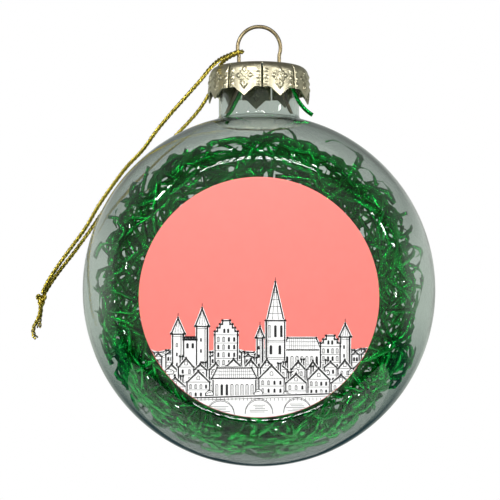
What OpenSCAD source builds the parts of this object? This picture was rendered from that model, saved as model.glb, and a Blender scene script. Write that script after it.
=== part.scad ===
// Souvenir Christmas ornament: a clear glass ball with one flat face, filled with foil tinsel.
// A round picture plate is stuck on the flat. A petalled metal cap sits on the neck, its wire
// hanger springs against the neck's bore, and a gold cord is looped through the wire's eye.
// The origin is the centre of the wire's eye, +Z is up and the picture faces -Y.

/* [Ball] */
// Outside diameter of the ball
ball_d = 80; // [66:1:110]
// Glass wall of the ball and the neck
glass_wall = 0.8; // [0.5:0.1:1.5]
// Rounding between the ball and its flat face
rim_r = 6.5; // [4:0.5:8]

/* [Neck] */
// Outside diameter of the neck
neck_d = 18.4; // [15.2:0.1:23]
// Height of the neck's mouth over the top of the ball
neck_h = 10.3; // [8.5:0.1:13]
// Rounding between the neck and the ball
neck_root_r = 1.2; // [0.6:0.1:2]

/* [Picture plate] */
// Diameter of the printed plate
plate_d = 50; // [36:1:60]
// Thickness of the printed plate
plate_t = 0.8; // [0.4:0.1:2]
// How far the plate's centre sits below the ball's centre
plate_drop = 1.5; // [0:0.1:2]
// How far the adhesive pad's edge lies inside the plate's
pad_inset = 3; // [1:0.5:10]
// Thickness of the adhesive pad
pad_t = 0.3; // [0.1:0.05:1]

/* [Cap] */
// How much wider the cap's radius is than the neck's
cap_gap = 2.1; // [1.8:0.1:4]
// How much wider the radius is at the petals' tips
cap_flare = 0.5; // [0:0.1:1]
// Height of the cap from its top to the petals' shoulders
cap_h = 5.9; // [4.5:0.1:8]
// Length of the pointed tab under each petal
tab_h = 2; // [0.5:0.1:2.5]
// Width of that tab where it leaves the petal
tab_w = 4.6; // [3:0.1:6]
// Thickness of the cap's metal
cap_metal = 0.35; // [0.2:0.05:0.6]
// Rounding of the cap's top edge
cap_corner_r = 2; // [1:0.1:3]
// Number of petals
petals = 9; // [6:1:10]
// Width of the slit between two petals
slit_w = 0.45; // [0.2:0.05:0.8]
// Play between the cap and the neck's mouth
seat_gap = 0.1; // [0.05:0.05:0.3]

/* [Hanger] */
// Diameter of the hanger's wire
wire_d = 0.85; // [0.6:0.05:1.2]
// Diameter of the eye, from wire centre to wire centre
eye_d = 9.8; // [8.1:0.1:13]
// Height of the eye's centre over the cap
eye_h = 4.6; // [4:0.1:8]
// How far the hanger can be pulled out of the cap
pull_travel = 2; // [1:0.1:3]
// Play between the wire and its holes, on the radius
hole_play = 0.08; // [0.02:0.01:0.1]
// Play between the feet of the wire and the neck's bore
foot_play = 0.4; // [0.3:0.1:1.5]

/* [Tinsel] */
// Width of a foil strip
strip_w = 0.7; // [0.4:0.1:1.2]
// Thickness of a foil strip
strip_t = 0.12; // [0.08:0.02:0.2]
// Depth of the packed tinsel from front to back
nest_depth = 17; // [8:1:20]
// Space between the packed tinsel and the glass
nest_gap = 0.5; // [0.3:0.1:3]

/* [Cord] */
// Diameter of the gold cord
cord_d = 1; // [0.6:0.1:1.2]

/* [Hidden] */
$fn = 96;
bore_fn = 48;
wire_fn = 32;

ball_r = ball_d / 2;
neck_r = neck_d / 2;
bore_r = neck_r - glass_wall;
cap_r = neck_r + cap_gap;
wire_r = wire_d / 2;
eye_r = eye_d / 2;
cord_r = cord_d / 2;

// Heights, downwards from the eye
cap_top_z = -eye_h;
cap_under_z = cap_top_z - cap_metal;
shoulder_z = cap_top_z - cap_h;
tip_z = shoulder_z - tab_h;
mouth_z = cap_under_z - seat_gap;
ball_z = mouth_z - neck_h - ball_r;

// The flat face: its radius takes the plate, and its distance from the ball's centre follows
flat_margin = 0.1;
flat_r = plate_d / 2 + plate_drop + flat_margin;
rim_h = sqrt(pow(ball_r - rim_r, 2) - pow(flat_r, 2));
flat_h = rim_h + rim_r;

// The wire: its arch runs a little past the half circle, then two straight legs pass
// the cap, and bend under it to spread to the neck's bore
arch_past = 20;
leg_x = eye_r * cos(arch_past);
leg_top_z = -eye_r * sin(arch_past);
bend_swell = 0.02;
bend_gap = 0.3;
bend_z = cap_under_z - pull_travel - bend_gap - wire_r;
foot_x = bore_r - foot_play - wire_r;
foot_z = mouth_z - neck_h;

// The slit nearest the front stands a little to the right of the middle
first_slit = 3.6;
slit_step = 360 / petals;
// Straight stretches that make up the cap's rounded edge
corner_steps = 6;

// The packed tinsel: a round cushion right behind the flat face
inner_r = ball_r - glass_wall;
nest_edge_r = nest_depth / 2;
nest_h = flat_h - glass_wall - nest_gap - 3.4 - nest_edge_r;
nest_r = sqrt(pow(inner_r - nest_gap - nest_edge_r, 2) - pow(nest_h, 2));
nest_back = nest_edge_r - nest_h;

// Foil strips that stand clear of the packed tinsel, near the glass:
// [angle round the ball's front, distance behind the packed tinsel, lie of the strip, length]
LOOSE = [
    [153, 3.2, -10, 5],
    [137, 4.2, 76, 8],
    [28, 5.2, 20, 5],
    [-137, 6.2, -60, 7],
    [-41, 5.2, 50, 6],
    [-5, 4.2, 80, 6]
];
loose_in = 3.2;
loose_bend = 14;
LOOSE_NAMES = [for (i = [1 : len(LOOSE)]) str("loose_strip_", i)];

// The cord is bent round the wire at this angle of the eye, low on its left side
bight_turn = 192;
bight_play = 0.06;
bight_r = wire_r + cord_r + bight_play;
function bight_end(side) = [
    eye_r * cos(bight_turn),
    side * bight_r,
    eye_r * sin(bight_turn)
];
bight_way = [cos(bight_turn), 0, sin(bight_turn)];

// The two runs of the cord, from the bight to the knot
FRONT_ROUTE = [
    [-6.8, -1.9, -1.9],
    [-8.8, -4.2, -3.3],
    [-10.7, -6.4, -5.4],
    [-12.9, -7.2, -8.3],
    [-16.2, -7, -12],
    [-19.7, -6.4, -15.8],
    [-23, -5.6, -19.6],
    [-26.2, -4.6, -23.8],
    [-29.8, -3.6, -27.4],
    [-33.2, -2.6, -31.6],
    [-36.5, -1.8, -36.2],
    [-39.4, -1.2, -41],
    [-42.8, -0.8, -45.6],
    [-46, -0.7, -50],
    [-48.3, -0.6, -53.6],
    [-49.5, -0.5, -56.2]
];
BACK_ROUTE = [
    [-6.8, 2, -1.7],
    [-8.8, 4.6, -2.9],
    [-10.2, 7.2, -5],
    [-11.2, 9, -8],
    [-14, 9.6, -12.6],
    [-18, 9.4, -17.2],
    [-22, 9.6, -21.2],
    [-26, 10, -25.2],
    [-29.8, 9.8, -29],
    [-33.2, 8, -33],
    [-36.1, 5.2, -36.8],
    [-38.8, 2.2, -41.4],
    [-42.1, 0.8, -46.3],
    [-45.5, 0.5, -50.7],
    [-48, 0.6, -54.2],
    [-49.3, 0.6, -56.4]
];
KNOT_AT = [-49.8, 0, -57.5];
knot_r = 1.15;
knot_half = 0.55;
FRONT_TAIL = [
    [-49.9, -0.6, -58.6],
    [-50, -0.6, -60.4],
    [-50.6, -0.6, -62.2],
    [-51.4, -0.6, -63.8],
    [-51.5, -0.5, -65.4],
    [-50.9, -0.4, -66.4]
];
BACK_TAIL = [
    [-49.9, 0.6, -58.6],
    [-50, 0.7, -60.4],
    [-50.3, 0.8, -62],
    [-50.4, 0.7, -64]
];
cord_sides = 8;
// Rings between two points of a route
ring_steps = 2;

// ---- the ball ----

// Half outline of the ball about its front-to-back axis, with its flat at the top
module ball_outline(r, rim, flat) {
    touch = r / (r - rim);
    intersection() {
        union() {
            intersection() {
                circle(r);
                translate([0, -r]) square([r, r + rim_h * touch]);
            }
            translate([flat_r, flat - rim]) circle(rim);
            translate([0, -1]) square([flat_r, flat + 1]);
        }
        translate([0, -r]) square([r, 2 * r]);
    }
}

// A solid ball with one flat face towards -Y
module flat_ball(inset) {
    translate([0, 0, ball_z])
        rotate([90, 0, 0])
            rotate_extrude()
                ball_outline(ball_r - inset, rim_r - inset, flat_h - inset);
}

// The rounding that fills the corner between the neck and the ball
module neck_root() {
    ring_x = neck_r + neck_root_r;
    ring_z = sqrt(pow(ball_r + neck_root_r, 2) - pow(ring_x, 2));
    touch = ball_r / (ball_r + neck_root_r);
    sunk = glass_wall / 2;
    translate([0, 0, ball_z])
        rotate_extrude()
            difference() {
                polygon([
                    [neck_r - sunk, ring_z],
                    [ring_x, ring_z],
                    [ring_x * touch, ring_z * touch],
                    [neck_r - sunk, ring_z * touch - sunk]
                ]);
                translate([ring_x, ring_z]) circle(neck_root_r);
            }
}

module bauble_shell() {
    inside_z = ball_z + ball_r - 5;
    color("lightsteelblue", 0.4)
        difference() {
            union() {
                flat_ball(0);
                translate([0, 0, inside_z]) cylinder(r = neck_r, h = mouth_z - inside_z);
                neck_root();
            }
            flat_ball(glass_wall);
            translate([0, 0, inside_z - 5])
                cylinder(r = bore_r, h = mouth_z - inside_z + 6);
        }
}

// ---- the picture ----

// A disc on the flat face: d across, from `near` to `near + t` in front of the glass
module face_disc(d, near, t) {
    translate([0, -flat_h - near, ball_z - plate_drop])
        rotate([90, 0, 0])
            cylinder(d = d, h = t);
}

module adhesive_pad() {
    color("white") face_disc(plate_d - 2 * pad_inset, 0, pad_t);
}

module picture_plate() {
    color("salmon") face_disc(plate_d, pad_t, plate_t);
}

// ---- the tinsel ----

module tinsel_nest() {
    color("green")
        translate([0, 0, ball_z])
            rotate([90, 0, 0])
                rotate_extrude() {
                    translate([0, nest_h - nest_edge_r]) square([nest_r, nest_depth]);
                    intersection() {
                        translate([nest_r, nest_h]) circle(nest_edge_r);
                        translate([0, -ball_r]) square([ball_r, ball_d]);
                    }
                }
}

// One foil strip, bent the easy way: its middle is at `at`, it lies in the upright plane
// turned `turn` from the front, `lie` above the level, and `roll` turns its flat side
module strip(at, turn, lie, roll, bend, length) {
    sweep = length / bend * 180 / PI;
    translate(at)
        rotate([0, 0, turn])
            rotate([0, -lie, 0])
                rotate([roll, 0, 0])
                    translate([0, bend, 0])
                        rotate([0, 0, -90 - sweep / 2])
                            rotate_extrude(angle = sweep)
                                translate([bend - strip_t / 2, -strip_w / 2])
                                    square([strip_t, strip_w]);
}

// A strip that stands up inside the neck, in front of the wire
module neck_strip() {
    color("green")
        strip([3.5 - bore_r, 5.1 - bore_r, mouth_z - 7.2], 0, 64, 0, 30, 12);
}

// A strip that hangs out of the neck, from under the cap down to the ball's shoulder
module shoulder_strip() {
    out = neck_r + 1.6;
    color("green")
        strip(
            [out * cos(-31), out * sin(-31), mouth_z - neck_h + 2.4],
            33, -49, 90, 18, 9.4
        );
}

module loose_strip(i) {
    spot = LOOSE[i];
    y = nest_back + spot[1];
    r = sqrt(pow(inner_r - loose_in, 2) - pow(y, 2));
    color("green")
        strip(
            [r * cos(spot[0]), y, ball_z + r * sin(spot[0])],
            0, spot[2], 0, loose_bend, spot[3]
        );
}

// ---- the cap ----

// Points along a quarter of a circle about [x, z], from its top or to its top
function quarter(x, z, r, from, to) =
    [for (i = [0 : corner_steps])
        let (a = from + (to - from) * i / corner_steps)
        [x + r * cos(a), z + r * sin(a)]];

// The cap without its slits: a flat top, a rounded edge and a flared skirt
module cap_shell() {
    x = cap_r - cap_corner_r;
    z = cap_top_z - cap_corner_r;
    tip_r = cap_r + cap_flare;
    rotate_extrude()
        polygon(concat(
            [[0, cap_top_z]],
            quarter(x, z, cap_corner_r, 90, 0),
            [[tip_r, tip_z], [tip_r - cap_metal, tip_z]],
            quarter(x, z, cap_corner_r - cap_metal, 0, 90),
            [[0, cap_under_z]]
        ));
}

// The pointed tabs, as wedges that run out from the cap's axis
module tab_wedges() {
    for (i = [0 : petals - 1])
        rotate([0, 0, first_slit + slit_step * (i + 0.5)])
            rotate([90, 0, 0])
                linear_extrude(2 * cap_r)
                    polygon([
                        [-tab_w / 2, shoulder_z + tab_h / 2],
                        [-tab_w / 2, shoulder_z],
                        [0, tip_z],
                        [tab_w / 2, shoulder_z],
                        [tab_w / 2, shoulder_z + tab_h / 2]
                    ]);
}

module crown_cap() {
    slit_top = cap_top_z - cap_corner_r * 0.3;
    slit_in = cap_r - cap_corner_r * 0.7;
    color("palegoldenrod")
        difference() {
            cap_shell();
            for (i = [0 : petals - 1])
                rotate([0, 0, first_slit + slit_step * i])
                    translate([-slit_w / 2, -2 * cap_r, tip_z - 1])
                        cube([slit_w, 2 * cap_r - slit_in, slit_top - tip_z + 1]);
            difference() {
                translate([0, 0, tip_z - 1]) cylinder(r = 2 * cap_r, h = tab_h + 1);
                tab_wedges();
            }
            for (side = [-1, 1])
                translate([side * leg_x, 0, cap_under_z - 1])
                    cylinder(r = wire_r + hole_play, h = cap_metal + 2, $fn = bore_fn);
        }
}

// ---- the hanger ----

// A straight stretch of wire between two points in the plane of the eye
module wire_run(from, to) {
    way = to - from;
    translate([from[0], 0, from[1]])
        rotate([0, 90 - atan2(way[1], way[0]), 0])
            cylinder(r = wire_r, h = norm(way), $fn = wire_fn);
}

// The wire is a little thicker where it was bent
module wire_bend(at) {
    translate([at[0], 0, at[1]]) sphere(r = wire_r + bend_swell, $fn = wire_fn);
}

module hanger_wire() {
    leg_top = [leg_x, leg_top_z];
    bend = [leg_x, bend_z];
    color("darkgoldenrod") {
        rotate([90, 0, 0])
            rotate([0, 0, -arch_past])
                rotate_extrude(angle = 180 + 2 * arch_past)
                    translate([eye_r, 0]) circle(r = wire_r, $fn = wire_fn);
        for (side = [0, 1])
            mirror([side, 0, 0]) {
                wire_bend(leg_top);
                wire_run(leg_top, bend);
                wire_bend(bend);
                wire_run(bend, [foot_x, foot_z]);
            }
    }
}

// ---- the cord ----

module cord_bight() {
    color("gold")
        rotate([90, 0, 0])
            rotate([0, 0, bight_turn])
                translate([eye_r, 0, 0])
                    rotate([90, 0, 0])
                        rotate([0, 0, 90])
                            rotate_extrude(angle = 180)
                                translate([bight_r, 0]) circle(r = cord_r, $fn = wire_fn);
}

function unit(v) = v / norm(v);

// A point of the smooth curve through a route, at step s of the stretch after point i
function curve_point(route, i, s) =
    let (
        last = len(route) - 1,
        a = route[max(i - 1, 0)],
        b = route[i],
        c = route[min(i + 1, last)],
        d = route[min(i + 2, last)]
    )
    b + (c - a) * s / 2
      + (2 * a - 5 * b + 4 * c - d) * s * s / 2
      + (3 * b - a - 3 * c + d) * s * s * s / 2;

function smooth_route(route) = concat(
    [for (i = [0 : len(route) - 2], k = [0 : ring_steps - 1]) curve_point(route, i, k / ring_steps)],
    [route[len(route) - 1]]
);

// The way the tube faces at ring i; the first ring faces `first`
function facing(path, i, first) =
    i == 0 ? first : unit(path[min(i + 1, len(path) - 1)] - path[i - 1]);

// A closed tube along a path
module tube(path, first) {
    rings = len(path);
    points = [
        for (i = [0 : rings - 1])
            let (
                way = facing(path, i, first),
                across = unit(cross(way, [0, 1, 0])),
                up = cross(across, way)
            )
            for (k = [0 : cord_sides - 1])
                let (a = 360 * k / cord_sides)
                path[i] + cord_r * (cos(a) * across + sin(a) * up)
    ];
    sides = [
        for (i = [0 : rings - 2], k = [0 : cord_sides - 1])
            let (n = (k + 1) % cord_sides, low = i * cord_sides, high = low + cord_sides)
            [low + k, low + n, high + n, high + k]
    ];
    start_cap = [for (k = [cord_sides - 1 : -1 : 0]) k];
    end_cap = [for (k = [0 : cord_sides - 1]) (rings - 1) * cord_sides + k];
    color("gold") polyhedron(points, concat([start_cap], sides, [end_cap]), convexity = 4);
}

module cord_front_run() {
    tube(smooth_route(concat([bight_end(-1)], FRONT_ROUTE)), bight_way);
}

module cord_back_run() {
    tube(smooth_route(concat([bight_end(1)], BACK_ROUTE)), bight_way);
}

module cord_knot() {
    color("gold")
        translate(KNOT_AT)
            rotate([0, 20, 0]) {
                for (side = [-1, 1])
                    translate([0, 0, side * knot_half]) sphere(r = knot_r, $fn = wire_fn);
            }
}

module cord_front_tail() {
    tube(smooth_route(FRONT_TAIL), [0, 0, -1]);
}

module cord_back_tail() {
    tube(smooth_route(BACK_TAIL), [0, 0, -1]);
}

bauble_shell();
adhesive_pad();
picture_plate();
tinsel_nest();
neck_strip();
shoulder_strip();
for (i = [0 : len(LOOSE) - 1])
    loose_strip(i);
crown_cap();
hanger_wire();
cord_bight();
cord_front_run();
cord_back_run();
cord_knot();
cord_front_tail();
cord_back_tail();
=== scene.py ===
import math
import random

import bmesh
import bpy
from mathutils import Matrix, Vector


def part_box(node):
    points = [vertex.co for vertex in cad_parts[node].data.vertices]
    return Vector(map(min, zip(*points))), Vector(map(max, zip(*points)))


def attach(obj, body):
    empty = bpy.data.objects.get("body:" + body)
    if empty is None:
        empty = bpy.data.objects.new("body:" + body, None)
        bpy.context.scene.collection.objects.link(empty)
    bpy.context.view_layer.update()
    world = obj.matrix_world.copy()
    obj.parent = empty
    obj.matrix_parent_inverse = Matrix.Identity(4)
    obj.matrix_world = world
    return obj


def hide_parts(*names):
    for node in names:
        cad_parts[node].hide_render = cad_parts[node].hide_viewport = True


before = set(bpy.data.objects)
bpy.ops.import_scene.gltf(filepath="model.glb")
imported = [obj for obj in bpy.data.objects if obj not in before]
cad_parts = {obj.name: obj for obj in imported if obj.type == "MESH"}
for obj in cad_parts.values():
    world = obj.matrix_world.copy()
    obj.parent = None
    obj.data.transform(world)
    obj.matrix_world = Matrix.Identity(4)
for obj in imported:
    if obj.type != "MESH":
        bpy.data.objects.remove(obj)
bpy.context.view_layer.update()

MM = 0.001


def cad_mm(node):
    low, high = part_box(node)
    return Vector(low) / MM, Vector(high) / MM


# ---- sizes, in millimetres, from the frame ----
shell_low, shell_high = cad_mm("bauble_shell")
plate_low, plate_high = cad_mm("picture_plate")
cap_low, cap_high = cad_mm("crown_cap")

BALL_R = 40.0
BALL_Z = shell_low.z + BALL_R
MOUTH_Z = shell_high.z
FLAT_H = -shell_low.y
GLASS_WALL = 0.8
RIM_R = 6.5
RIM_H = FLAT_H - RIM_R
FLAT_R = math.sqrt((BALL_R - RIM_R) ** 2 - RIM_H ** 2)
NECK_R = 9.2
NECK_ROOT_R = 1.2

PLATE_R = 25.0
PLATE_Z = (plate_low.z + plate_high.z) / 2
PLATE_FRONT = plate_low.y
INK_DEPTH = 0.24

CAP_R = 11.3
CAP_CORNER_R = 2.0
CAP_TOP_Z = cap_high.z
CAP_CORNER_Z = CAP_TOP_Z - CAP_CORNER_R
CAP_TIP_Z = cap_low.z
CAP_SHOULDER_Z = CAP_TIP_Z + 2.0
CAP_FLARE = 0.5
CAP_METAL = 0.3
PETALS = 9
FIRST_SLIT = 3.6
TAB_HALF = 2.3

EYE_R = 4.9
WIRE_R = 0.425
ARCH_PAST = 20.0
LEG_BEND_Z = -7.68
FOOT = (7.575, -15.35)

CORD_R = 0.5
BIGHT_TURN = math.radians(192)
BIGHT_R = WIRE_R + CORD_R + 0.06

# The cord's two runs from the eye to the knot, and its two tails
FRONT_ROUTE = [
    (-6.8, -1.9, -1.9), (-8.8, -4.2, -3.3), (-10.7, -6.4, -5.4), (-12.9, -7.2, -8.3),
    (-16.2, -7, -12), (-19.7, -6.4, -15.8), (-23, -5.6, -19.6), (-26.2, -4.6, -23.8),
    (-29.8, -3.6, -27.4), (-33.2, -2.6, -31.6), (-36.5, -1.8, -36.2), (-39.4, -1.2, -41),
    (-42.8, -0.8, -45.6), (-46, -0.7, -50), (-48.3, -0.6, -53.6), (-49.5, -0.5, -56.2),
]
BACK_ROUTE = [
    (-6.8, 2, -1.7), (-8.8, 4.6, -2.9), (-10.2, 7.2, -5), (-11.2, 9, -8),
    (-14, 9.6, -12.6), (-18, 9.4, -17.2), (-22, 9.6, -21.2), (-26, 10, -25.2),
    (-29.8, 9.8, -29), (-33.2, 8, -33), (-36.1, 5.2, -36.8), (-38.8, 2.2, -41.4),
    (-42.1, 0.8, -46.3), (-45.5, 0.5, -50.7), (-48, 0.6, -54.2), (-49.3, 0.6, -56.4),
]
FRONT_TAIL = [
    (-49.9, -0.6, -58.6), (-50, -0.6, -60.4), (-50.6, -0.6, -62.2), (-51.4, -0.6, -63.8),
    (-51.5, -0.5, -65.4), (-50.9, -0.4, -66.4),
]
BACK_TAIL = [(-49.9, 0.6, -58.6), (-50, 0.7, -60.4), (-50.3, 0.8, -62), (-50.4, 0.7, -64)]
KNOT_AT = Vector((-49.8, 0, -57.5))


# ---- camera ----
CAMERA_AWAY = 300.0
PICTURE_WIDE = 114.4


def place_camera():
    camera = bpy.data.cameras.new("camera")
    camera.sensor_width = 36
    camera.lens = 36 * CAMERA_AWAY / PICTURE_WIDE
    camera.shift_x = -0.018
    camera.shift_y = 0.08
    camera.clip_start = 0.01
    stand = bpy.data.objects.new("camera", camera)
    stand.location = (0, -CAMERA_AWAY * MM, BALL_Z * MM)
    stand.rotation_euler = (math.radians(90), 0, 0)
    bpy.context.scene.collection.objects.link(stand)
    bpy.context.scene.camera = stand


place_camera()


# ---- shader maths ----
# The colour sockets of a Mix node, whose names stand for other kinds of value too
MIX_FIRST = 6
MIX_SECOND = 7
MIX_RESULT = 2


class Value:
    """A shader socket that takes part in Python sums."""

    def __init__(self, finish, socket):
        self.finish = finish
        self.socket = socket

    def _math(self, operation, first, second=0.0):
        return self.finish.node("ShaderNodeMath", {"operation": operation}, {0: first, 1: second})

    def __add__(self, other):
        return self._math("ADD", self, other)

    def __radd__(self, other):
        return self._math("ADD", other, self)

    def __mul__(self, other):
        return self._math("MULTIPLY", self, other)

    def __rmul__(self, other):
        return self._math("MULTIPLY", other, self)

    def __pow__(self, other):
        return self._math("POWER", self, other)


class Finish:
    """A material, or the world, built from nodes."""

    def __init__(self, name, world=False):
        self.block = bpy.data.worlds.new(name) if world else bpy.data.materials.new(name)
        self.block.use_nodes = True
        self.tree = self.block.node_tree
        self.tree.nodes.clear()
        kind = "ShaderNodeOutputWorld" if world else "ShaderNodeOutputMaterial"
        self.output = self.tree.nodes.new(kind)

    def node(self, kind, settings=None, inputs=None, out=0):
        """Any node: its settings first, then its sockets' values or links."""
        made = self.tree.nodes.new(kind)
        for name, value in (settings or {}).items():
            if name == "stops":
                self._stops(made.color_ramp, value)
            else:
                setattr(made, name, value)
        for key, value in (inputs or {}).items():
            if isinstance(value, Value):
                self.tree.links.new(value.socket, made.inputs[key])
            else:
                made.inputs[key].default_value = value
        return Value(self, made.outputs[out])

    def _stops(self, ramp, stops):
        while len(ramp.elements) < len(stops):
            ramp.elements.new(1.0)
        for element, (place, colour) in zip(ramp.elements, stops):
            element.position = place
            element.color = (*colour, 1)

    def place(self, stretch=(1, 1, 1)):
        """Where a point is on the object; a pattern runs long along an axis of small stretch."""
        spot = self.node("ShaderNodeTexCoord", out="Object")
        if stretch == (1, 1, 1):
            return spot
        return self.node("ShaderNodeMapping", {}, {"Vector": spot, "Scale": stretch})

    def noise(self, size_mm, detail=3.0, roughness=0.5, stretch=(1, 1, 1)):
        """Soft noise whose blotches are about size_mm across."""
        return self.node("ShaderNodeTexNoise", {}, {
            "Vector": self.place(stretch), "Scale": 1 / (size_mm * MM),
            "Detail": detail, "Roughness": roughness,
        })

    def cells(self, size_mm):
        """Patches about size_mm across, each of its own tone."""
        return self.node("ShaderNodeTexVoronoi", {}, {
            "Vector": self.place(), "Scale": 1 / (size_mm * MM),
        }, out="Color")

    def ramp(self, factor, stops):
        return self.node("ShaderNodeValToRGB", {"stops": stops}, {"Fac": factor})

    def blend(self, factor, first, second):
        def rgba(colour):
            return colour if isinstance(colour, Value) else (*colour, 1)
        return self.node("ShaderNodeMix", {"data_type": "RGBA"},
                         {"Factor": factor, MIX_FIRST: rgba(first), MIX_SECOND: rgba(second)},
                         out=MIX_RESULT)

    def bump(self, height, depth_mm, strength=1.0):
        return self.node("ShaderNodeBump", {}, {
            "Height": height, "Distance": depth_mm * MM, "Strength": strength,
        })

    def surface(self, **sockets):
        """The one shader of a piece; underscores in the names stand for spaces."""
        inputs = {}
        for name, value in sockets.items():
            socket = name.replace("_", " ").title().replace("Ior", "IOR")
            inputs[socket] = (*value, 1) if isinstance(value, tuple) else value
        shader = self.node("ShaderNodeBsdfPrincipled", {}, inputs)
        self.tree.links.new(shader.socket, self.output.inputs["Surface"])
        return self.block


# ---- finishes ----
GLASS_DENSITY = 420.0
GLASS_TINT = (0.72, 0.80, 0.76, 1)


def blown_glass():
    f = Finish("blown_glass")
    drift = f.noise(14, 2)
    smear = f.noise(5, 4)
    tint = f.node("ShaderNodeVolumeAbsorption", {}, {"Color": GLASS_TINT, "Density": GLASS_DENSITY})
    f.tree.links.new(tint.socket, f.output.inputs["Volume"])
    return f.surface(
        base_color=f.blend(drift, (0.91, 0.93, 0.915), (0.945, 0.96, 0.95)),
        roughness=0.006 + 0.02 * smear ** 3,
        transmission_weight=1.0, ior=1.5,
        normal=f.bump(drift, 0.12, 0.4))


def green_foil():
    f = Finish("green_foil")
    tone = f.cells(2.6)
    fine = f.noise(0.7, 2)
    patch = f.noise(3, 2)
    leaf = f.blend(patch, (0.0, 0.24, 0.02), (0.02, 0.85, 0.12))
    strip = f.blend(tone, (0.0, 0.10, 0.01), (0.03, 0.85, 0.14))
    return f.surface(
        base_color=f.blend(0.35, leaf, strip),
        metallic=1.0,
        roughness=0.15 + 0.16 * fine,
        normal=f.bump(fine + patch, 0.12, 0.55))


def stamped_gold():
    f = Finish("stamped_gold")
    rub = f.noise(1.6, 4)
    grain = f.noise(0.18, 2, stretch=(1, 1, 0.3))
    return f.surface(
        base_color=f.blend(rub, (0.52, 0.47, 0.31), (0.76, 0.71, 0.52)),
        metallic=1.0,
        roughness=0.3 + 0.14 * rub,
        normal=f.bump(grain + 0.6 * rub, 0.03, 0.5))


def bronze_wire():
    f = Finish("bronze_wire")
    rub = f.noise(1.1, 3)
    drawn = f.noise(0.12, 2, stretch=(1, 1, 0.2))
    return f.surface(
        base_color=f.blend(rub, (0.20, 0.15, 0.075), (0.44, 0.36, 0.21)),
        metallic=1.0,
        roughness=0.22 + 0.2 * drawn,
        normal=f.bump(drawn, 0.02, 0.4))


def gold_thread(name="gold_thread", shade=1.0):
    f = Finish(name)
    # glint paints random bright specks into the gold's colour, painted glints on darker gold; the same
    # noise also bumps the surface
    glint = f.noise(0.22, 2)
    tone = f.noise(1.4, 3)
    # shade below 1 darkens the thread into a painted-shade copy, for the cord's core between the plies
    dark = (0.16 * shade, 0.11 * shade, 0.005 * shade)
    bright = (0.90 * shade, 0.74 * shade, 0.13 * shade)
    return f.surface(
        base_color=f.blend(0.25 + 0.7 * glint, dark, bright),
        metallic=1.0,
        roughness=0.22 + 0.2 * tone,
        normal=f.bump(glint, 0.08, 0.8))


def coral_print():
    f = Finish("coral_print")
    mottle = f.noise(2.2, 4)
    peel = f.noise(0.35, 2)
    return f.surface(
        base_color=f.blend(mottle, (0.955, 0.216, 0.186), (0.975, 0.234, 0.203)),
        roughness=0.42 + 0.1 * mottle,
        specular_ior_level=0.3,
        normal=f.bump(peel, 0.008, 0.35))


def print_paint(name, low, high):
    f = Finish(name)
    mottle = f.noise(1.2, 3)
    return f.surface(
        base_color=f.blend(mottle, low, high),
        roughness=0.5 + 0.1 * mottle,
        specular_ior_level=0.25,
        normal=f.bump(mottle, 0.004, 0.3))


def foam_tape():
    f = Finish("foam_tape")
    pores = f.noise(0.3, 3)
    return f.surface(
        base_color=f.blend(pores, (0.70, 0.70, 0.67), (0.88, 0.88, 0.86)),
        roughness=0.8 + 0.1 * pores,
        normal=f.bump(pores, 0.05, 0.6))


def pale_floor():
    f = Finish("pale_floor")
    mottle = f.noise(60, 3)
    return f.surface(
        base_color=f.blend(mottle, (0.80, 0.80, 0.79), (0.86, 0.86, 0.85)),
        roughness=0.7 + 0.1 * mottle)


GLASS = blown_glass()
FOIL = green_foil()
CAP_GOLD = stamped_gold()
WIRE = bronze_wire()
GOLD = gold_thread()
# The same gold thread darkened: painted shade for the core that shows between the cord's plies
PAINTED_SHADE_GOLD = gold_thread("painted_shade_gold_thread", 0.28)
CORAL = coral_print()
WHITE = print_paint("white_print", (0.90, 0.89, 0.885), (0.97, 0.965, 0.96))
BLACK = print_paint("black_line", (0.010, 0.010, 0.012), (0.03, 0.028, 0.03))
FOAM = foam_tape()


# ---- making pieces ----
def finish_piece(name, bm, material, body, stands_for=(), sharp=35.0, turn_out=True):
    """Puts a bmesh in millimetres into the scene as one piece that rides on a body."""
    bmesh.ops.scale(bm, vec=(MM, MM, MM), verts=bm.verts)
    if turn_out:
        bmesh.ops.recalc_face_normals(bm, faces=bm.faces)
    mesh = bpy.data.meshes.new(name)
    bm.to_mesh(mesh)
    bm.free()
    for each in (material if isinstance(material, tuple) else (material,)):
        mesh.materials.append(each)
    mesh.shade_smooth()
    if sharp:
        mesh.set_sharp_from_angle(angle=math.radians(sharp))
    piece = bpy.data.objects.new(name, mesh)
    bpy.context.scene.collection.objects.link(piece)
    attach(piece, body)
    if stands_for:
        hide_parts(*stands_for)
    return piece


def thicken(piece, wall):
    skin = piece.modifiers.new("wall", "SOLIDIFY")
    skin.thickness = wall * MM
    skin.offset = -1
    skin.use_even_offset = True
    return piece


def bmesh_of_curve(curve):
    """The tubes or strips of a curve as a bmesh, with the curve gone."""
    holder = bpy.data.objects.new(curve.name, curve)
    bpy.context.scene.collection.objects.link(holder)
    bpy.context.view_layer.update()
    mesh = bpy.data.meshes.new_from_object(holder.evaluated_get(bpy.context.evaluated_depsgraph_get()))
    bpy.data.objects.remove(holder)
    bm = bmesh.new()
    bm.from_mesh(mesh)
    bpy.data.meshes.remove(mesh)
    return bm


def line_of(bm, points):
    """A chain of edges through points, ready to be spun or extruded."""
    verts = [bm.verts.new(p) for p in points]
    return verts + [bm.edges.new(pair) for pair in zip(verts, verts[1:])]


def full_spin(bm, geom, centre, axis, steps):
    bmesh.ops.spin(bm, geom=geom, cent=centre, axis=axis, dvec=(0, 0, 0),
                   angle=2 * math.pi, steps=steps, use_merge=True, use_duplicate=False)
    bmesh.ops.remove_doubles(bm, verts=bm.verts, dist=0.001)


# ---- the glass ball ----
BALL_STEPS = 192


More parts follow.
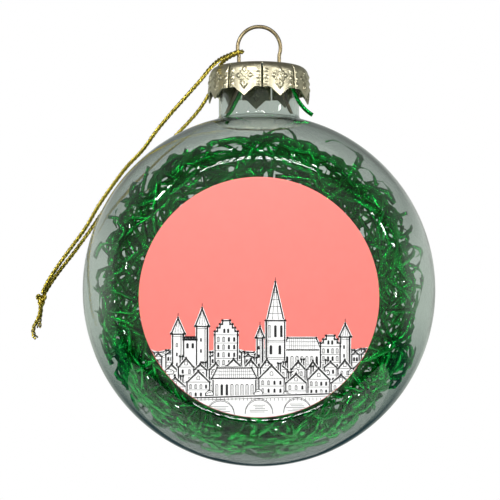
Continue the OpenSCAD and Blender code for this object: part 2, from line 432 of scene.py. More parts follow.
def ball_profile():
    """Half outline from the back of the ball, over its rounded rim, to the middle of the flat."""
    lean = math.atan2(FLAT_R, RIM_H)
    points = []
    arc_steps, rim_steps, flat_steps = 78, 14, 5
    for i in range(arc_steps + 1):
        a = math.pi + (lean - math.pi) * i / arc_steps
        points.append((BALL_R * math.sin(a), BALL_R * math.cos(a)))
    for i in range(1, rim_steps + 1):
        a = lean * (1 - i / rim_steps)
        points.append((FLAT_R + RIM_R * math.sin(a), RIM_H + RIM_R * math.cos(a)))
    for i in range(1, flat_steps + 1):
        points.append((FLAT_R * (1 - i / flat_steps), FLAT_H))
    return [Vector((abs(r), -h, BALL_Z)) for r, h in points]


def neck_profile():
    """Radius and height over the ball's centre, from the ball's surface up to the mouth."""
    ring_r = NECK_R + NECK_ROOT_R
    ring_z = math.sqrt((BALL_R + NECK_ROOT_R) ** 2 - ring_r ** 2)
    start = math.pi + math.atan2(ring_z, ring_r)
    points = []
    for i in range(1, 9):
        a = start + (math.pi - start) * i / 8
        points.append((ring_r + NECK_ROOT_R * math.cos(a), ring_z + NECK_ROOT_R * math.sin(a)))
    top = MOUTH_Z - BALL_Z
    for share in (0.25, 0.5, 0.75, 0.93, 1.0):
        swell = 0.12 if share > 0.9 else 0.0
        points.append((NECK_R + swell, ring_z + (top - ring_z) * share))
    return points


def make_glass():
    bm = bmesh.new()
    full_spin(bm, line_of(bm, ball_profile()), (0, 0, BALL_Z), (0, 1, 0), BALL_STEPS)
    touch = BALL_R / (BALL_R + NECK_ROOT_R)
    hole_r = (NECK_R + NECK_ROOT_R) * touch
    spare = 0.25
    cut = [v for v in bm.verts
           if v.co.z > BALL_Z and math.hypot(v.co.x, v.co.y) < hole_r + spare]
    bmesh.ops.delete(bm, geom=cut, context="VERTS")
    rim = [e for e in bm.edges if e.is_boundary]
    ring = sorted({v for e in rim for v in e.verts}, key=lambda v: math.atan2(v.co.y, v.co.x))
    first = math.atan2(ring[0].co.y, ring[0].co.x)
    hole_z = BALL_Z + math.sqrt(BALL_R ** 2 - hole_r ** 2)
    for i, v in enumerate(ring):
        a = first + 2 * math.pi * i / len(ring)
        v.co = (hole_r * math.cos(a), hole_r * math.sin(a), hole_z)
    for r, z in neck_profile():
        out = bmesh.ops.extrude_edge_only(bm, edges=rim)["geom"]
        rim = [g for g in out if isinstance(g, bmesh.types.BMEdge)]
        for v in (g for g in out if isinstance(g, bmesh.types.BMVert)):
            flat = Vector((v.co.x, v.co.y, 0)).normalized() * r
            v.co = (flat.x, flat.y, BALL_Z + z)
    glass = finish_piece("glass_ball", bm, GLASS, "bauble", ("bauble_shell",), sharp=None)
    return thicken(glass, GLASS_WALL)


make_glass()


# ---- the printed plate ----
def facing_front(x, z, y):
    """A place on the plate, x and z from its middle, at depth y."""
    return Vector((x, y, PLATE_Z + z))


def make_plate():
    bm = bmesh.new()
    thick = plate_high.y - PLATE_FRONT - INK_DEPTH
    bmesh.ops.create_circle(bm, cap_ends=True, radius=PLATE_R, segments=180)
    out = bmesh.ops.extrude_face_region(bm, geom=bm.faces[:])["geom"]
    lifted = [g for g in out if isinstance(g, bmesh.types.BMVert)]
    bmesh.ops.translate(bm, verts=lifted, vec=(0, 0, thick))
    front_edges = [e for e in bm.edges if all(v in lifted for v in e.verts)]
    bmesh.ops.bevel(bm, geom=front_edges, offset=0.16, offset_type="OFFSET", segments=3,
                    profile=0.5, affect="EDGES", material=-1)
    bmesh.ops.transform(bm, matrix=Matrix.Rotation(math.radians(90), 4, "X"), verts=bm.verts)
    bmesh.ops.translate(bm, verts=bm.verts, vec=(0, plate_high.y, PLATE_Z))
    finish_piece("coral_plate", bm, CORAL, "bauble", ("picture_plate",))


make_plate()


class Drawing:
    """White shapes and thin black lines, laid on the plate in thin coats of paint."""

    COATS = 130
    LINE = 0.15
    HALO = 0.42

    def __init__(self):
        self.white = bmesh.new()
        self.black = bmesh.new()
        self.coat = 1
        self.step = INK_DEPTH * 0.9 / self.COATS

    def _depth(self, above=0.0):
        return PLATE_FRONT + INK_DEPTH - self.step * (self.coat + above)

    def _patch(self, bm, outline, y):
        bm.faces.new([bm.verts.new(facing_front(x, z, y)) for x, z in outline])

    def _stroke(self, bm, points, y, width):
        for (x0, z0), (x1, z1) in zip(points, points[1:]):
            way = Vector((x1 - x0, z1 - z0))
            if way.length < 1e-4:
                continue
            way.normalize()
            side = Vector((-way.y, way.x)) * width / 2
            tip = way * width / 2
            start, end = Vector((x0, z0)) - tip, Vector((x1, z1)) + tip
            corners = (start + side, start - side, end - side, end + side)
            self._patch(bm, corners, y)

    def line(self, points, width=None):
        self._stroke(self.black, points, self._depth(0.5), width or self.LINE)

    def shape(self, outline, halo=True):
        """A white shape with a black edge and a narrow white border, in the next coat."""
        self.coat += 1
        closed = outline + outline[:1]
        self._patch(self.white, outline, self._depth())
        if halo:
            self._stroke(self.white, closed, self._depth(), self.HALO)
        self.line(closed)

    def blot(self, outline):
        """A black shape on the latest coat."""
        self._patch(self.black, outline, self._depth(0.6))

    def finish(self):
        """Trims both paints to the plate's round edge and makes them pieces."""
        edge = PLATE_R - 0.12
        sides = 72
        paints = (("white_skyline", self.white, WHITE), ("black_lines", self.black, BLACK))
        for name, bm, material in paints:
            for i in range(sides):
                a = 2 * math.pi * i / sides
                out = Vector((math.cos(a), 0, math.sin(a)))
                bmesh.ops.bisect_plane(bm, geom=bm.verts[:] + bm.edges[:] + bm.faces[:], dist=1e-5,
                                       plane_co=Vector((0, 0, PLATE_Z)) + out * edge,
                                       plane_no=out, clear_outer=True)
            for face in bm.faces:
                face.normal_update()
                if face.normal.y > 0:
                    face.normal_flip()
            finish_piece(name, bm, material, "bauble", turn_out=False)


def arch(x, z, half, high, steps=6):
    """The outline of a round-headed opening whose foot is centred on x, z."""
    springing = z + high - half
    turns = [math.pi * i / steps for i in range(steps + 1)]
    head = [(x + half * math.cos(a), springing + half * math.sin(a)) for a in turns]
    return [(x + half, z)] + head + [(x - half, z)]


def windows(d, rng, x0, x1, z, count, half, high, filled=0.5):
    for i in range(count):
        x = x0 + (x1 - x0) * (i + 0.5) / count
        opening = arch(x, z, half, high)
        if rng.random() < filled:
            d.blot(opening)
        else:
            d.line(opening + opening[:1], 0.11)
            d.line([(x, z), (x, z + high)], 0.09)


def hatch(d, x0, x1, z0, z1, gap, width=0.06):
    count = max(1, int((x1 - x0) / gap))
    for i in range(1, count):
        x = x0 + (x1 - x0) * i / count
        d.line([(x, z0), (x, z1)], width)


def gabled_house(d, rng, x, foot, wide, high, roof):
    """A house seen from its gable end, with a band, windows and sometimes a chimney."""
    l, r, top = x - wide / 2, x + wide / 2, foot + high
    if rng.random() < 0.6:
        cx = x + wide * rng.choice((-0.3, 0.3))
        stack = top + roof + 0.3
        d.shape([(cx - 0.3, top), (cx + 0.3, top), (cx + 0.3, stack), (cx - 0.3, stack)])
    d.shape([(l, foot), (r, foot), (r, top), (x, top + roof), (l, top)])
    d.line([(l, top), (r, top)], 0.11)
    d.line([(l + 0.35, top + 0.1), (x, top + roof - 0.4), (r - 0.35, top + 0.1)], 0.1)
    if roof > 1.6:
        d.line(arch(x, top + roof * 0.22, 0.3, 0.75) + [(x + 0.3, top + roof * 0.22)], 0.11)
    count = max(2, int(wide / 1.15))
    level = top - 1.35
    while level > foot + 0.1:
        windows(d, rng, l + 0.25, r - 0.25, level, count, 0.22, 0.85)
        d.line([(l, level - 0.28), (r, level - 0.28)], 0.1)
        level -= 1.65


def long_roof(d, rng, x0, x1, foot, wall, roof):
    """A hall seen from its long side: a tiled roof over a row of windows."""
    top = foot + wall
    slope = 0.9
    d.shape([(x0, foot), (x1, foot), (x1, top), (x0, top)])
    windows(d, rng, x0 + 0.3, x1 - 0.3, foot + wall * 0.25, max(3, int((x1 - x0) / 1.1)), 0.26, wall * 0.5)
    d.shape([(x0 - 0.3, top), (x1 + 0.3, top), (x1 - slope, top + roof), (x0 + slope, top + roof)])
    hatch(d, x0 + 0.9, x1 - 0.9, top + 0.12, top + roof - 0.12, 0.42)
    for share in (0.35, 0.68):
        d.line([(x0 + slope * share, top + roof * share), (x1 - slope * share, top + roof * share)], 0.09)


def battlement(x0, x1, z, tooth, high):
    """The upper edge of a wall with square teeth, from left to right."""
    count = int((x1 - x0) / (2 * tooth))
    step = (x1 - x0) / count
    edge = []
    for i in range(count):
        a = x0 + step * i
        edge += [(a, z), (a, z + high), (a + step / 2, z + high), (a + step / 2, z)]
    return edge + [(x1, z)]


def square_tower(d, rng, x, foot, wide, high, spire):
    l, r, top = x - wide / 2, x + wide / 2, foot + high
    d.shape([(l + 0.2, top), (r - 0.2, top), (x, top + spire)])
    d.line([(x - wide * 0.16, top), (x, top + spire)], 0.1)
    d.line([(x + wide * 0.16, top), (x, top + spire)], 0.1)
    for share in (0.18, 0.36, 0.54, 0.72):
        half = (wide / 2 - 0.2) * (1 - share)
        d.line([(x - half, top + spire * share), (x + half, top + spire * share)], 0.1)
    d.line([(x, top + spire), (x, top + spire + 0.9)], 0.1)
    d.shape([(l, foot), (r, foot), (r, top), (l, top)])
    d.line([(l - 0.2, top), (r + 0.2, top)], 0.18)
    for share in (0.28, 0.31, 0.6, 0.63):
        d.line([(l, foot + high * share), (r, foot + high * share)], 0.11)
    windows(d, rng, l + 0.15, r - 0.15, foot + high * 0.69, 3, 0.26, high * 0.22, 0.8)
    windows(d, rng, l + 0.15, r - 0.15, foot + high * 0.37, 2, 0.28, high * 0.17, 0.8)
    hatch(d, l, l + 0.7, foot, top, 0.2, 0.09)


def round_turret(d, rng, x, foot, wide, high, cone):
    l, r, top = x - wide / 2, x + wide / 2, foot + high
    d.shape([(l - 0.3, top), (r + 0.3, top), (x, top + cone)])
    for share in (-0.3, 0.0, 0.3):
        d.line([(x + wide * share, top), (x, top + cone)], 0.1)
    d.line([(x, top + cone), (x, top + cone + 0.9)], 0.1)
    d.shape([(l, foot), (r, foot), (r, top), (l, top)])
    d.line([(l, top - 0.5), (r, top - 0.5)], 0.11)
    hatch(d, r - 0.9, r, foot, top, 0.2, 0.09)
    for z in (0.2, 0.45, 0.68):
        windows(d, rng, l + 0.2, r - 0.7, foot + high * z, max(1, int(wide / 1.3)), 0.18, 0.75, 0.9)


def stepped_gable(d, rng, x, foot, wide, high, steps):
    """A tall house whose gable climbs in steps."""
    half, rise = wide / 2, 0.75
    tread = half / (steps + 0.5)
    left = []
    for i in range(steps):
        left += [(x - half + tread * i, foot + high + rise * step) for step in (i, i + 1)]
    right = [(2 * x - px, pz) for px, pz in reversed(left)]
    d.shape([(x - half, foot)] + left + right + [(x + half, foot)])
    d.line([(x - half, foot + high), (x + half, foot + high)], 0.11)
    for level in range(4):
        z = foot + high - 1.4 - 1.6 * level
        windows(d, rng, x - half + 0.2, x + half - 0.2, z, 4, 0.22, 0.95)
        d.line([(x - half, z - 0.3), (x + half, z - 0.3)], 0.1)
    windows(d, rng, x - 0.8, x + 0.8, foot + high + 0.4, 2, 0.22, 0.9, 1.0)


def tree(d, rng, x, foot, size):
    crown = []
    for i in range(9):
        a = math.pi * (1.1 - 1.2 * i / 8)
        r = size * rng.uniform(0.8, 1.1)
        crown.append((x + r * math.cos(a), foot + size + r * math.sin(a)))
    d.shape(crown, halo=False)
    for _ in range(4):
        a = rng.uniform(0.3, 2.6)
        d.line([(x + size * 0.5 * math.cos(a), foot + size + size * 0.45 * math.sin(a)),
                (x + size * 0.75 * math.cos(a + 0.5), foot + size + size * 0.55 * math.sin(a + 0.5))], 0.1)


def bridge(d, rng, x0, x1, deck, spans):
    """A stone bridge with round arches, over lines of water."""
    step = (x1 - x0) / spans
    d.shape([(x0, -26), (x0, deck), (x1, deck + 1.2), (x1, -26)])
    d.line([(x0, deck - 0.55), (x1, deck + 0.65)], 0.11)
    hatch(d, x0, x1, deck - 0.4, deck + 0.1, 0.8, 0.1)
    for i in range(spans):
        x = x0 + step * (i + 0.5)
        lift = 1.2 * (i + 0.5) / spans
        hole = arch(x, deck - 3.6 + lift, step * 0.36, 2.7, 10)
        d.line(hole, 0.12)
        d.line([(px, pz + 0.28) for px, pz in hole[1:-1]], 0.1)
        for k in range(5):
            z = deck - 3.4 + lift + k * 0.35
            d.line([(x - step * rng.uniform(0.1, 0.3), z), (x + step * rng.uniform(0.1, 0.3), z)], 0.1)


def make_skyline():
    """An invented old town in line drawing: it stands for no real place."""
    rng = random.Random(11)
    d = Drawing()
    ridge = [(25 - 2 * i, -11.0 + 0.45 * math.sin(i * 1.3)) for i in range(26)]
    d.shape([(-25, -25), (25, -25)] + ridge)
    for k in range(3):
        d.line([(x, z - 0.4 - 0.42 * k + 0.1 * math.sin(x)) for x, z in ridge], 0.1)
    for i in range(25):
        x = -22.5 + 1.85 * i + rng.uniform(-0.3, 0.3)
        gabled_house(d, rng, x, -15, rng.uniform(1.3, 2.0), rng.uniform(2.6, 3.5), rng.uniform(0.5, 0.9))
    round_turret(d, rng, -16.8, -16, 2.4, 8.4, 3.4)
    round_turret(d, rng, -11.8, -16, 2.4, 10.0, 3.8)
    d.shape([(-15.7, -16)] + battlement(-15.7, -12.9, -8.8, 0.3, 0.5) + [(-12.9, -16)])
    windows(d, rng, -15.4, -13.2, -10.6, 2, 0.25, 1.1, 1.0)
    stepped_gable(d, rng, -6.8, -16, 4.8, 8.2, 4)
    long_roof(d, rng, 5.0, 12.8, -16, 5.0, 2.6)
    square_tower(d, rng, 3.4, -16, 4.0, 11.2, 8.0)
    round_turret(d, rng, 0.2, -16, 1.3, 7.6, 2.4)
    round_turret(d, rng, 17.9, -16, 2.0, 7.8, 2.8)
    stepped_gable(d, rng, 14.8, -16, 4.2, 5.8, 3)
    for i in range(14):
        x = -21.8 + 3.3 * i + rng.uniform(-0.4, 0.4)
        gabled_house(d, rng, x, -18.4, rng.uniform(2.5, 3.4), rng.uniform(2.8, 4.2), rng.uniform(1.2, 2.0))
    for x, size in ((-18.6, 0.9), (-9.2, 0.8), (7.4, 0.9), (13.9, 0.8), (19.3, 0.9)):
        tree(d, rng, x, -16.6, size)
    long_roof(d, rng, -9.6, -0.6, -21.5, 4.6, 2.3)
    for x, wide, high, roof in ((-17.4, 4.6, 3.4, 2.0), (-12.6, 4.8, 4.4, 2.4), (2.6, 5.4, 5.2, 2.8),
                                (7.7, 4.4, 4.2, 2.0), (12.4, 4.6, 5.0, 2.4), (17.0, 4.2, 4.2, 1.8)):
        gabled_house(d, rng, x, -22, wide, high, roof)
    for x, size in ((-10.2, 0.8), (-0.1, 0.9), (5.6, 0.7), (14.9, 0.7)):
        tree(d, rng, x, -20.9, size)
    bridge(d, rng, -20, 20, -21.0, 5)
    d.finish()


make_skyline()


# ---- ribbons of foil ----
FOIL_WALL = 0.03


def bend_into_ribbons(name, paths, width, stands_for):
    """Flat strips along paths; a path is a list of (point, tilt)."""
    curve = bpy.data.curves.new(name, "CURVE")
    curve.dimensions = "3D"
    curve.twist_mode = "Z_UP"
    curve.extrude = width / 2
    curve.resolution_u = 1
    for path in paths:
        spline = curve.splines.new("POLY")
        spline.points.add(len(path) - 1)
        for spot, (point, tilt) in zip(spline.points, path):
            spot.co = (*point, 1)
            spot.tilt = tilt
    piece = finish_piece(name, bmesh_of_curve(curve), FOIL, "bauble", stands_for, sharp=50)
    piece.modifiers.new("wall", "SOLIDIFY").thickness = FOIL_WALL * MM


NEST_R = 34.6
NEST_FRONT = -23.4
NEST_BACK = -3.0
TINSEL_STRIPS = 900
TINSEL_WIDE = 1.0
TINSEL_STEP = 1.7
TINSEL_KINK = 0.12
INNER_R = BALL_R - GLASS_WALL - 0.9
INNER_FRONT = -(FLAT_H - GLASS_WALL - 0.7)


def inside_ball(p):
    """Keeps a point of the tinsel inside the glass."""
    p = Vector(p)
    centre = Vector((0, 0, BALL_Z))
    away = p - centre
    if away.length > INNER_R:
        p = centre + away.normalized() * INNER_R
    p.y = max(p.y, INNER_FRONT)
    return p


def nest_pull(point):
    """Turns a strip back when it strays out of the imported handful, which lies a little low."""
    flat = Vector((point.x, 0, point.z - BALL_Z + 1.5))
    pull = Vector((0, 0, 0))
    if flat.length > NEST_R - 2:
        pull -= flat.normalized() * 0.45
    if point.y < NEST_FRONT + 1:
        pull.y += 0.35
    if point.y > NEST_BACK - 1:
        pull.y -= 0.35
    return pull


def wander(rng, start, heading, steps):
    """A crinkled path: nearly straight runs with a sharp fold now and then, kept in the handful."""
    point, way = Vector(start), Vector(heading).normalized()

    def loose(size):
        return Vector((rng.gauss(0, 1), rng.gauss(0, 0.5), rng.gauss(0, 1))) * size

    curl = loose(0.05)
    tilt = rng.uniform(-1.1, 1.1)
    twist = rng.gauss(0, 0.12)
    path = []
    for _ in range(steps):
        path.append((inside_ball(point), tilt))
        if rng.random() < TINSEL_KINK:
            way += loose(1.2)
            curl = loose(0.05)
            tilt += rng.gauss(0, 0.8)
        way = (way + curl + nest_pull(point)).normalized()
        point = point + way * TINSEL_STEP
        tilt += twist
    return path


def make_tinsel():
    rng = random.Random(5)
    paths = []
    for _ in range(TINSEL_STRIPS):
        a = rng.uniform(0, 2 * math.pi)
        if rng.random() < 0.3:
            a = rng.gauss(math.radians(-110), 0.7)
        r = (NEST_R - 0.1) * math.sqrt(rng.uniform(0.34, 1.0))
        deep = NEST_FRONT + (NEST_BACK - NEST_FRONT) * rng.random() ** 1.4
        start = (r * math.cos(a), deep, BALL_Z - 1.0 + r * math.sin(a))
        spin = rng.choice((-1, 1))
        heading = (-math.sin(a) * spin + rng.gauss(0, 0.8), rng.gauss(0, 0.25),
                   math.cos(a) * spin + rng.gauss(0, 0.8))
        paths.append(wander(rng, start, heading, rng.randint(7, 15)))
    bend_into_ribbons("tinsel", paths, TINSEL_WIDE, ("tinsel_nest",))


make_tinsel()


def lone_strip(node, lean, width=0.85):
    """A single strip through the middle of its plain solid, lean degrees up from level."""
    low, high = cad_mm(node)
    middle = (low + high) / 2
    way = Vector((math.cos(math.radians(lean)), 0, math.sin(math.radians(lean)))).normalized()
    size = high - low
    length = max(abs(way.x) * size.x, abs(way.z) * size.z, size.length * 0.96)
    steps = 10
    path = []
    for i in range(steps + 1):
        t = i / steps - 0.5
        bow = Vector((0, -0.3 * (1 - 4 * t * t), 0))
        path.append((middle + way * length * t + bow, 0.5 * t))
    bend_into_ribbons(node + "_foil", [path], width, (node,))


lone_strip("neck_strip", 64, width=0.95)
for number, lean in enumerate((-10, 76, 20, -60, 50, 80), start=1):
    lone_strip("loose_strip_%d" % number, lean)


def make_shoulder_strip():
    """The strip that comes out under the cap and bends down over the shoulder."""
    low, high = cad_mm("shoulder_strip")
    start = Vector((low.x + 0.5, low.y + 0.4, high.z - 0.2))
    end = Vector((high.x - 0.3, high.y - 0.3, low.z + 0.3))
    hollow = Vector((-0.6, 0.225, -0.675))
    tilt = 0.35
    steps = 14
    path = []
    for i in range(steps + 1):
        t = i / steps
        path.append((start.lerp(end, t) + hollow * (4 * t * (1 - t)), tilt))
    bend_into_ribbons("shoulder_strip_foil", [path], 0.9, ("shoulder_strip",))


make_shoulder_strip()


# ---- the cap ----
CAP_STEPS = 360
FLOWER_Z = -7.95
STAMP_HIGH = 0.3
SLIT_WIDE = 2.4
SLIT_DOWN = 0.45


def diamond(x, z, cx, cz, half_x, half_z):
    """1 at the middle of a diamond, falling straight to 0 at its sides."""
    return max(0.0, 1 - abs(x - cx) / half_x - abs(z - cz) / half_z)


def stamped(x, z):
    """How far the stamping stands out on a petal, x from its middle and z from the flower."""
    high = 0.0
    leaves = ((0, 1.25, 0.6, 0.8), (0, -1.75, 1.0, 1.35), (-1.25, 0, 0.75, 0.6), (1.25, 0, 0.75, 0.6))
    for cx, cz, hx, hz in leaves:
        bump = diamond(x, z, cx, cz, hx, hz)
        dimple = diamond(x, z, cx, cz, hx * 0.5, hz * 0.5)
        high = max(high, min(1.0, bump * 2.2) - dimple * 0.9)
    for lean in (-1, 1):
        ridge = abs(x - lean * z) / 1.414
        along = abs(x + lean * z) / 1.414
        if along < 1.3:
            high = max(high, 0.8 * max(0.0, 1 - ridge / 0.28))
    for cx in (-3.1, 3.1):
        for cz in (1.1, -0.4, -1.8):
            away = math.hypot(x - cx, z - cz)
            high = max(high, 0.75 * max(0.0, 1 - (away / 0.5) ** 2))
    return high * STAMP_HIGH


def lower_edge(x):
    """Height of a petal's lower edge, x from its middle: shoulders and a pointed tab."""
    if abs(x) < TAB_HALF:
        return CAP_SHOULDER_Z + (CAP_TIP_Z - CAP_SHOULDER_Z) * (1 - abs(x) / TAB_HALF)
    return CAP_SHOULDER_Z


def make_cap():
    bm = bmesh.new()
    start = math.radians(FIRST_SLIT - 90 - 360 / CAP_STEPS)
    corner_x = CAP_R - CAP_CORNER_R
    outline = [(r, CAP_TOP_Z) for r in (0, 2, 4, 6.5, corner_x - 0.5)]
    for i in range(13):
        a = math.radians(90 - 90 * i / 12)
        outline.append((corner_x + CAP_CORNER_R * math.cos(a), CAP_CORNER_Z + CAP_CORNER_R * math.sin(a)))
    rows = 30
    for i in range(1, rows + 1):
        outline.append((CAP_R, CAP_CORNER_Z + (CAP_SHOULDER_Z - CAP_CORNER_Z) * i / rows))
    points = [(r * math.cos(start), r * math.sin(start), z) for r, z in outline]
    full_spin(bm, line_of(bm, points), (0, 0, 0), (0, 0, 1), CAP_STEPS)
    petal = 360 / PETALS
    slit_half = math.radians(SLIT_WIDE / 2 * 360 / CAP_STEPS)
    slit_top = CAP_TOP_Z - SLIT_DOWN

    def from_slit(co):
        """Radians from the nearest slit, and degrees past the slit before."""
        turn = (math.degrees(math.atan2(co.y, co.x)) + 90 - FIRST_SLIT) % petal
        return math.radians(min(turn, petal - turn)), turn

    slit_faces = [f for f in bm.faces
                  if f.calc_center_median().z < slit_top
                  and from_slit(f.calc_center_median())[0] < slit_half]
    bmesh.ops.delete(bm, geom=slit_faces, context="FACES")
    wobble = random.Random(3)
    lean = [wobble.uniform(-0.25, 0.25) for _ in range(PETALS)]
    for v in bm.verts:
        r = math.hypot(v.co.x, v.co.y)
        if r < corner_x:
            continue
        near, turn = from_slit(v.co)
        angle = math.atan2(v.co.y, v.co.x)
        number = int(((math.degrees(angle) + 90 - FIRST_SLIT) % 360) // petal)
        x = math.radians(turn - petal / 2) * CAP_R
        z = v.co.z
        if z < CAP_CORNER_Z:
            share = (CAP_CORNER_Z - z) / (CAP_CORNER_Z - CAP_SHOULDER_Z)
            z = CAP_CORNER_Z + (lower_edge(x) - CAP_CORNER_Z) * share
        drop = max(0.0, CAP_CORNER_Z - z) / (CAP_CORNER_Z - CAP_TIP_Z)
        curl = 0.16 * max(0.0, 1 - near / 0.10) * min(1.0, drop * 2)
        out = CAP_FLARE * drop + lean[number] * drop ** 2 - curl + stamped(x, z - FLOWER_Z)
        direction = Vector((math.cos(angle), math.sin(angle), 0))
        spot = direction * (r + out)
        v.co = (spot.x, spot.y, z)
    cap = finish_piece("stamped_cap", bm, CAP_GOLD, "cap", ("crown_cap",), sharp=60)
    return thicken(cap, CAP_METAL)


make_cap()


# ---- round wires and cords ----
def tubes(name, lines, radius, sides, core=None):
    """One bmesh of round tubes along lines of points, and along a cord's core, which is darkened as
    painted shade between the plies.
    """
    curve = bpy.data.curves.new(name, "CURVE")
    curve.dimensions = "3D"
    curve.bevel_depth = radius
    curve.bevel_resolution = sides
    curve.use_fill_caps = True
    if core:
        curve.materials.append(GOLD)
        # the core's gold is darkened as painted shade
        curve.materials.append(PAINTED_SHADE_GOLD)
    for points in (lines + [core] if core else lines):
        spline = curve.splines.new("POLY")
        spline.material_index = int(points is core)
        spline.points.add(len(points) - 1)
        for spot, point in zip(spline.points, points):
            spot.co = (*point, 1)
            if points is core:
                spot.radius = CORE_R / radius
    return bmesh_of_curve(curve)


def make_hanger():
    past = math.radians(ARCH_PAST)
    leg_x, leg_z = EYE_R * math.cos(past), -EYE_R * math.sin(past)
    half = [(leg_x, 0, leg_z - 0.5 * i) for i in range(1, 11)]
    half += [(leg_x, 0, LEG_BEND_Z)]
    foot_x, foot_z = FOOT
    steps = 10
    for i in range(1, steps + 1):
        share = i / steps
        x = leg_x + (foot_x - leg_x) * share ** 1.12
        half.append((x, 0, LEG_BEND_Z + (foot_z - LEG_BEND_Z) * share))
    turns = [-past + (math.pi + 2 * past) * i / 64 for i in range(65)]
    arch_line = [(EYE_R * math.cos(a), 0, EYE_R * math.sin(a)) for a in turns]
    line = half[::-1] + arch_line + [(-x, y, z) for x, y, z in half]
    bm = tubes("hanger", [line], WIRE_R, 5)
    finish_piece("bent_hanger", bm, WIRE, "hanger", ("hanger_wire",), sharp=60)


make_hanger()


def curve_point(route, i, s):
    """A point of the smooth curve through a route, at share s after point i."""
    last = len(route) - 1
    a, b, c, d = (Vector(route[min(max(k, 0), last)]) for k in (i - 1, i, i + 1, i + 2))
    return (b + (c - a) * s / 2 + (2 * a - 5 * b + 4 * c - d) * s * s / 2
            + (3 * b - a - 3 * c + d) * s ** 3 / 2)


def smooth_route(route, steps):
    points = [curve_point(route, i, k / steps) for i in range(len(route) - 1) for k in range(steps)]
    return points + [Vector(route[-1])]


PLIES = 3
PLY_R = 0.215
PLY_OUT = 0.285
CORE_R = 0.29
PITCH = 3.3


def twisted(path, fray=None, side=Vector((0, 1, 0))):
    """The plies of a cord that follows a path, as lines of points; fray spreads them near an end."""
    lines = [[] for _ in range(PLIES)]
    gone = 0.0
    last = len(path) - 1
    for i, point in enumerate(path):
        way = (path[min(i + 1, last)] - path[max(i - 1, 0)]).normalized()
        across = way.cross(side).normalized()
        up = across.cross(way)
        if i:
            gone += (point - path[i - 1]).length
        spread = fray(i / last) if fray else 1.0
        for k in range(PLIES):
            a = 2 * math.pi * (gone / PITCH + k / PLIES)
            shift = (across * math.cos(a) + up * math.sin(a)) * PLY_OUT * spread
            lines[k].append(point + shift)
    return lines


def bight_point(a):
    """A point of the bend round the wire: a quarter turn each side of the eye's inner side."""
    outwards = Vector((math.cos(BIGHT_TURN), 0, math.sin(BIGHT_TURN)))
    return outwards * EYE_R - outwards * BIGHT_R * math.cos(a) + Vector((0, BIGHT_R * math.sin(a), 0))


def cord_piece(name, node, lines, radius=PLY_R, core=None):
    """One piece of the cord: gold plies, round a core darkened as painted shade where it has one."""
    material = (GOLD, PAINTED_SHADE_GOLD) if core else GOLD
    bm = tubes(name, lines, radius, 3, core)
    return finish_piece(name, bm, material, "cord", (node,), sharp=None)


def make_bight():
    along = Vector((-math.sin(BIGHT_TURN), 0, math.cos(BIGHT_TURN)))
    bend = [bight_point(-math.pi / 2 + math.pi * i / 16) for i in range(17)]
    return cord_piece("gold_bight", "cord_bight", twisted(bend, side=along), core=bend)


def make_knot():
    """The cord drawn tight round itself, along a trefoil."""
    steps = 60
    line = []
    for i in range(steps + 1):
        t = 2 * math.pi * i / steps
        line.append(KNOT_AT + Vector((
            0.36 * (math.sin(t) + 1.5 * math.sin(2 * t)),
            0.36 * -math.sin(3 * t),
            0.52 * (math.cos(t) - 1.5 * math.cos(2 * t)))))
    side = Vector((0.3, 1, 0.2)).normalized()
    return cord_piece("gold_knot", "cord_knot", twisted(line, side=side), core=line)


def make_tail(name, node, route):
    """A cut end below the knot, whose plies spread towards its tip."""
    path = smooth_route([KNOT_AT + Vector((0, 0, -0.6))] + route, 6)
    lines = twisted(path, fray=lambda s: 1 + 1.6 * max(0.0, s - 0.55) ** 1.5)
    return cord_piece(name, node, lines, PLY_R * 0.85)


def make_run(name, node, route, side):
    """A run of the cord from the bend round the wire to the knot; its length is summed but not used."""
    start = bight_point(side * math.pi / 2)
    path = smooth_route([start] + route, 8)
    run = cord_piece(name, node, twisted(path), core=path)
    length = sum((b - a).length for a, b in zip(path, path[1:])) * MM
    [tuple(p * MM) for p in path[::4]]


def make_cord():
    bight = make_bight()
    knot = make_knot()
    front_tail = make_tail("gold_front_tail", "cord_front_tail", FRONT_TAIL)
    back_tail = make_tail("gold_back_tail", "cord_back_tail", BACK_TAIL)
    make_run("gold_front_run", "cord_front_run", FRONT_ROUTE, -1)
    make_run("gold_back_run", "cord_back_run", BACK_ROUTE, 1)


make_cord()


# ---- what stays as CAD made it ----
def dress(node, material):
    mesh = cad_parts[node].data
    mesh.materials.clear()
    mesh.materials.append(material)


dress("adhesive_pad", FOAM)


# ---- floor, world and lights ----
FLOOR_Z = -250.0
FLOOR_R = 340.0

# What the pieces mirror: its colours from straight down to straight up, and its strength from
# the front to the back
STUDIO_COLOURS = [(0.0, (0.01, 0.02, 0.025)), (0.33, (0.02, 0.045, 0.055)), (0.45, (0.52, 0.57, 0.52)),
                  (0.58, (0.58, 0.61, 0.575)), (0.66, (0.22, 0.235, 0.225)), (1.0, (0.10, 0.10, 0.10))]
STUDIO_STRENGTH = [(place, (share, share, share))
                   for place, share in ((0.0, 0.60), (0.30, 0.45), (0.75, 1.0))]

SPARK_COUNT = 22
SPARK_AWAY = 420.0


def make_floor():
    bm = bmesh.new()
    bmesh.ops.create_circle(bm, cap_ends=True, radius=FLOOR_R * MM, segments=96)
    bmesh.ops.translate(bm, verts=bm.verts, vec=(0, 0, FLOOR_Z * MM))
    mesh = bpy.data.meshes.new("floor")
    bm.to_mesh(mesh)
    bm.free()
    mesh.materials.append(pale_floor())
    floor = bpy.data.objects.new("floor", mesh)
    floor.visible_glossy = False
    bpy.context.scene.collection.objects.link(floor)


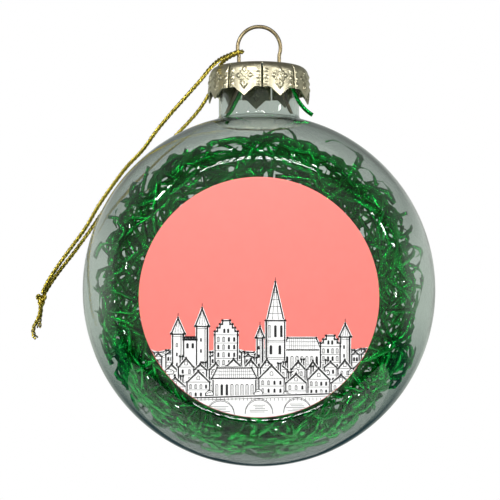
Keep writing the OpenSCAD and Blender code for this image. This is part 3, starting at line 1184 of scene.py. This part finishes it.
def make_world():
    """White to look at; what the pieces mirror is a grey studio, darker low down and in front."""
    f = Finish("studio", world=True)
    way = f.node("ShaderNodeTexCoord", out="Generated")
    y = f.node("ShaderNodeSeparateXYZ", {}, {"Vector": way}, out="Y")
    z = f.node("ShaderNodeSeparateXYZ", {}, {"Vector": way}, out="Z")
    grey = f.node("ShaderNodeMix", {"data_type": "RGBA", "blend_type": "MULTIPLY"}, {
        "Factor": 1.0,
        MIX_FIRST: f.ramp(z * 0.5 + 0.5, STUDIO_COLOURS),
        MIX_SECOND: f.ramp(y * 0.5 + 0.5, STUDIO_STRENGTH),
    }, out=MIX_RESULT)
    soft = f.node("ShaderNodeBackground", {}, {"Color": grey})
    white = f.node("ShaderNodeBackground", {}, {"Color": (1, 1, 1, 1)})
    seen = f.node("ShaderNodeLightPath", out="Is Camera Ray")
    mixed = f.node("ShaderNodeMixShader", {}, {"Fac": seen, 1: soft, 2: white})
    f.tree.links.new(mixed.socket, f.output.inputs["Surface"])
    bpy.context.scene.world = f.block


def add_light(name, spot, size, power, mirrored=True):
    """A soft panel aimed at the middle of the ball, its size in millimetres and its power in watts."""
    spot = Vector(spot)
    lamp = bpy.data.lights.new(name, "AREA")
    lamp.shape = "RECTANGLE"
    lamp.size, lamp.size_y = size[0] * MM, size[1] * MM
    lamp.energy = power
    stand = bpy.data.objects.new(name, lamp)
    stand.location = spot * MM
    stand.rotation_euler = (Vector((0, 0, BALL_Z)) - spot).to_track_quat("-Z", "Y").to_euler()
    stand.visible_glossy = mirrored
    stand.visible_transmission = mirrored
    bpy.context.scene.collection.objects.link(stand)


def make_lights():
    add_light("key_left", (-260, -400, 190), (30, 30), 0.85)
    add_light("key_right", (330, -330, 110), (18, 40), 0.45)
    add_light("soft_top", (0, -40, 420), (300, 220), 3.0, mirrored=False)
    # rows of small lamps over and under the ball, in front, which glint along its rim
    rows = ((-300, 80, 13, 120, 0.008), (-300, 118, 11, 110, 0.008), (-300, -165, 12, 110, 0.006))
    for row, (y, z, count, wide, power) in enumerate(rows):
        for i in range(count):
            x = wide * (i / (count - 1) - 0.5)
            add_light("row_%d_%02d" % (row, i), (x, y, z), (6, 16), power)
    rng = random.Random(8)
    for i in range(SPARK_COUNT):
        a = 2 * math.pi * (i + rng.random()) / SPARK_COUNT
        lean = math.radians(rng.uniform(30, 75))
        way = Vector((math.sin(lean) * math.cos(a), -math.cos(lean), math.sin(lean) * math.sin(a)))
        add_light("spark_%02d" % i, Vector((0, 0, BALL_Z)) + way * SPARK_AWAY, (11, 11), 0.045)


make_floor()
make_world()
make_lights()
bpy.context.scene.view_settings.view_transform = "Standard"
